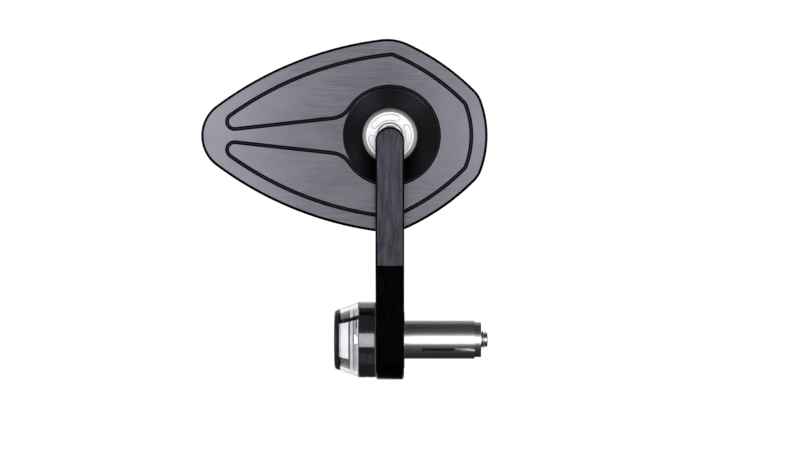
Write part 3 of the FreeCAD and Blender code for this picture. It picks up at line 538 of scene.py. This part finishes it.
def zinc_plated():
    finish = Finish("plain_steel", Metallic=1.0)
    along, _, _ = finish.split(finish.place())
    tool = finish.lines(along, ZINC_MARK)
    film = finish.noise(finish.place(grain=ZINC_FILM), 3.0)
    colour = finish.mix(film, *ZINC_TONES)
    return finish.set(Base_Color=colour, Roughness=0.25 + 0.12 * tool + 0.08 * film,
                      Normal=finish.bump(tool, ZINC_RELIEF))


def turned_alloy():
    finish = Finish("sleeve_alloy", Metallic=1.0)
    along, _, _ = finish.split(finish.place())
    tool = finish.lines(along, SLEEVE_MARK)
    scuff = finish.noise(finish.place(grain=SLEEVE_SCUFF), 4.0)
    colour = finish.mix(scuff, *SLEEVE_TONES)
    return finish.set(Base_Color=colour, Roughness=0.24 + 0.2 * tool,
                      Normal=finish.bump(tool, FAINT_RELIEF))


zinc = zinc_plated()
for node in ("stop_washer", "bolt_washer", "expander_cone"):
    coat(node, zinc)
coat("expander_sleeve", turned_alloy())

# --- Clamp bolt -----------------------------------------------------------------------------------
# A zinc-plated steel screw, turned, broached with a hexagon at its head and bored through for the
# cable.  Its thread is rolled: a ridge wound round the shank, sunk a little into it.
BOLT_HEAD = 0.0065
BOLT_HEAD_LENGTH = 0.005
BOLT_SHANK = 0.004
BOLT_BORE = 0.0018
BOLT_BREAK = 0.0003
HEX_FLAT = 0.003
HEX_CORNER = HEX_FLAT / math.cos(math.radians(30))
HEX_DEPTH = 0.003
THREAD_START = 0.012
THREAD_PITCH = 0.00125
THREAD_CREST = 0.00397
THREAD_ROOT = 0.00325
THREAD_SUNK = 0.00005
TOOTH_FOOT = 0.43
TOOTH_FLAT = 0.07
THREAD_STEPS = 32
TURNED_STEPS = 72
TOUCHING = 1e-7


def threaded_bolt():
    low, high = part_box("clamp_bolt")
    outer, inner = low[0], high[0]
    seat = outer + BOLT_HEAD_LENGTH
    floor_level = outer + HEX_DEPTH
    section = [(outer, BOLT_HEAD - BOLT_BREAK), (outer + BOLT_BREAK, BOLT_HEAD), (seat, BOLT_HEAD),
               (seat, BOLT_SHANK), (THREAD_START, BOLT_SHANK),
               (THREAD_START + BOLT_SHANK - THREAD_ROOT, THREAD_ROOT),
               (inner - BOLT_BREAK, THREAD_ROOT), (inner, THREAD_ROOT - BOLT_BREAK), (inner, BOLT_BORE),
               (floor_level, BOLT_BORE)]
    mesh = bmesh.new()
    spots = [mesh.verts.new((along, 0, radius)) for along, radius in section]
    edges = [mesh.edges.new(pair) for pair in zip(spots, spots[1:])]
    bmesh.ops.spin(mesh, geom=spots + edges, cent=(0, 0, 0), axis=(1, 0, 0), angle=2 * math.pi,
                   steps=TURNED_STEPS, use_merge=True)
    face_rim = [e for e in mesh.edges if e.is_boundary and abs(e.verts[0].co.x - outer) < TOUCHING]
    bore_rim = [e for e in mesh.edges if e.is_boundary and abs(e.verts[0].co.x - floor_level) < TOUCHING]
    turn = Matrix.Rotation(math.radians(90), 4, "Y")
    sides = []
    for level, rim in ((outer, face_rim), (floor_level, bore_rim)):
        made = bmesh.ops.create_circle(mesh, segments=6, radius=HEX_CORNER,
                                       matrix=Matrix.Translation((level, 0, 0)) @ turn)
        hexagon = list({e for v in made["verts"] for e in v.link_edges})
        bmesh.ops.bridge_loops(mesh, edges=rim + hexagon)
        sides += hexagon
    bmesh.ops.bridge_loops(mesh, edges=sides)
    foot = THREAD_ROOT - THREAD_SUNK
    tooth = [(-TOOTH_FOOT, foot), (-TOOTH_FLAT, THREAD_CREST),
             (TOOTH_FLAT, THREAD_CREST), (TOOTH_FOOT, foot)]
    first = THREAD_START + THREAD_PITCH
    ring = [mesh.verts.new((first + share * THREAD_PITCH, 0, radius)) for share, radius in tooth]
    around = [mesh.edges.new(pair) for pair in zip(ring, ring[1:] + ring[:1])]
    turns = (inner - BOLT_BREAK - THREAD_PITCH / 2 - first) / THREAD_PITCH
    steps = int(turns * THREAD_STEPS)
    mesh.faces.new(ring)
    spun = bmesh.ops.spin(mesh, geom=ring + around, cent=(0, 0, 0), axis=(1, 0, 0),
                          dvec=(THREAD_PITCH / THREAD_STEPS, 0, 0),
                          angle=2 * math.pi * steps / THREAD_STEPS, steps=steps)
    last = [e for e in spun["geom_last"] if isinstance(e, bmesh.types.BMEdge)]
    bmesh.ops.contextual_create(mesh, geom=last)
    bmesh.ops.remove_doubles(mesh, verts=mesh.verts, dist=TOUCHING)
    bmesh.ops.recalc_face_normals(mesh, faces=mesh.faces)
    piece = bpy.data.objects.new("threaded_bolt", bpy.data.meshes.new("threaded_bolt"))
    mesh.to_mesh(piece.data)
    mesh.free()
    bpy.context.scene.collection.objects.link(piece)
    piece.data.materials.append(zinc)
    return piece


bolt = threaded_bolt()
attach(bolt, "bolt")
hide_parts("clamp_bolt")

# --- Studio -------------------------------------------------------------------------------------
# A white backdrop stands behind the part, and a wide soft light behind the camera, brighter at
# both sides than in the middle.  Polished faces also find lit flanks and a faint glow from below,
# and the rest stays dark, so that black metal keeps its dark edges.
SOFTBOX_DISTANCE = 2.0
SOFTBOX_HALF = 0.72
FRONT_RADIANCE = 0.42
SIDE_RADIANCE = 4.2
SIDE_GAP = 0.02
RIGHT_EDGE = 0.065
LEFT_EDGE = -0.135
BACKDROP_STRENGTH = 0.92
CROWN_SHARE = 0.3
GLOW_STRENGTH = 0.03
DARK_STRENGTH = 0.02
ROOM_STRENGTH = 1.05


def soft_light(name, left, right, distance, radiance):
    """A flat light facing the part, between two sides, with an even radiance."""
    lamp = bpy.data.lights.new(name, "AREA")
    lamp.shape = "RECTANGLE"
    lamp.size = right - left
    lamp.size_y = 2 * SOFTBOX_HALF
    lamp.energy = radiance * math.pi * lamp.size * lamp.size_y
    holder = bpy.data.objects.new(name, lamp)
    bpy.context.scene.collection.objects.link(holder)
    middle = Matrix.Translation(((left + right) / 2, -distance, 0))
    holder.matrix_world = middle @ Matrix.Rotation(math.radians(90), 4, "X")


# The side lights hang just in front of the wide one, so that a reflection takes in both.
soft_light("front_light", -SOFTBOX_HALF, SOFTBOX_HALF, SOFTBOX_DISTANCE, FRONT_RADIANCE)
soft_light("right_light", RIGHT_EDGE, SOFTBOX_HALF, SOFTBOX_DISTANCE - SIDE_GAP, SIDE_RADIANCE)
soft_light("left_light", -SOFTBOX_HALF, LEFT_EDGE, SOFTBOX_DISTANCE - SIDE_GAP, SIDE_RADIANCE)

world = bpy.data.worlds.new("studio")
bpy.context.scene.world = world
world.use_nodes = True
sky = Nodes(world.node_tree)
direction = sky.node("ShaderNodeTexCoord")["Generated"]
parts = sky.node("ShaderNodeSeparateXYZ", None, {"Vector": direction})
rays = sky.node("ShaderNodeLightPath")
reflected = rays["Is Glossy Ray"] * (1 - rays["Is Transmission Ray"])
# Each share of the surroundings fades between two values of a ray's direction.
backdrop = sky.spread(parts["Y"], 0.36, 0.5, 0.0, BACKDROP_STRENGTH)
ground = sky.spread(parts["Z"], -0.5, -0.3, 0.0, 1.0)
crown = sky.spread(parts["Z"], 0.2, 0.7, 1.0, CROWN_SHARE)
before = sky.spread(parts["Y"], -0.35, -0.15, 1.0, 0.0)
flanks = sky.spread(abs(parts["X"]), 0.68, 0.85)
below = sky.spread(parts["Z"], -0.7, -0.6, GLOW_STRENGTH, 0.0)
around = DARK_STRENGTH + backdrop * ground * crown + before * (flanks + below)
strength = reflected * around + (1 - reflected) * ROOM_STRENGTH
background = world.node_tree.nodes["Background"]
background.inputs["Color"].default_value = (1, 1, 1, 1)
sky.feed(background.inputs["Strength"], strength)
bpy.context.scene.view_settings.view_transform = "Standard"

# The camera stands in front of the head, a little below it, with a long lens.
VIEW_WIDTH = 0.3622
VIEW_CENTRE = Vector((-0.0021, 0, 0.0526))
VIEW_DISTANCE = 1.5
FRONT_FACE = 0.02
SENSOR_WIDTH = 36
eye = bpy.data.cameras.new("camera")
eye.sensor_width = SENSOR_WIDTH
eye.lens = eye.sensor_width * VIEW_DISTANCE / VIEW_WIDTH
camera = bpy.data.objects.new("camera", eye)
bpy.context.scene.collection.objects.link(camera)
camera.location = VIEW_CENTRE - Vector((0, VIEW_DISTANCE + FRONT_FACE, 0))
camera.rotation_euler = (math.radians(90), 0, 0)
bpy.context.scene.camera = camera


FLOOR_HALF = 1.5
FLOOR_LEVEL = -0.3
CARD_FIBRE = (0.004, 0.004, 0.004)
CARD_TONES = tone(0.88, 0.88, 0.88), tone(0.93, 0.93, 0.93)


def pale_card():
    finish = Finish("floor_card", Roughness=0.8)
    fibre = finish.noise(finish.place(grain=CARD_FIBRE), 3.0)
    return finish.set(Base_Color=finish.mix(fibre, *CARD_TONES))


card = bmesh.new()
bmesh.ops.create_grid(card, x_segments=1, y_segments=1, size=FLOOR_HALF,
                      matrix=Matrix.Translation((0, 0, FLOOR_LEVEL)))
floor = bpy.data.objects.new("floor", bpy.data.meshes.new("floor"))
card.to_mesh(floor.data)
card.free()
floor.data.materials.append(pale_card())
floor.visible_glossy = False
bpy.context.scene.collection.objects.link(floor)
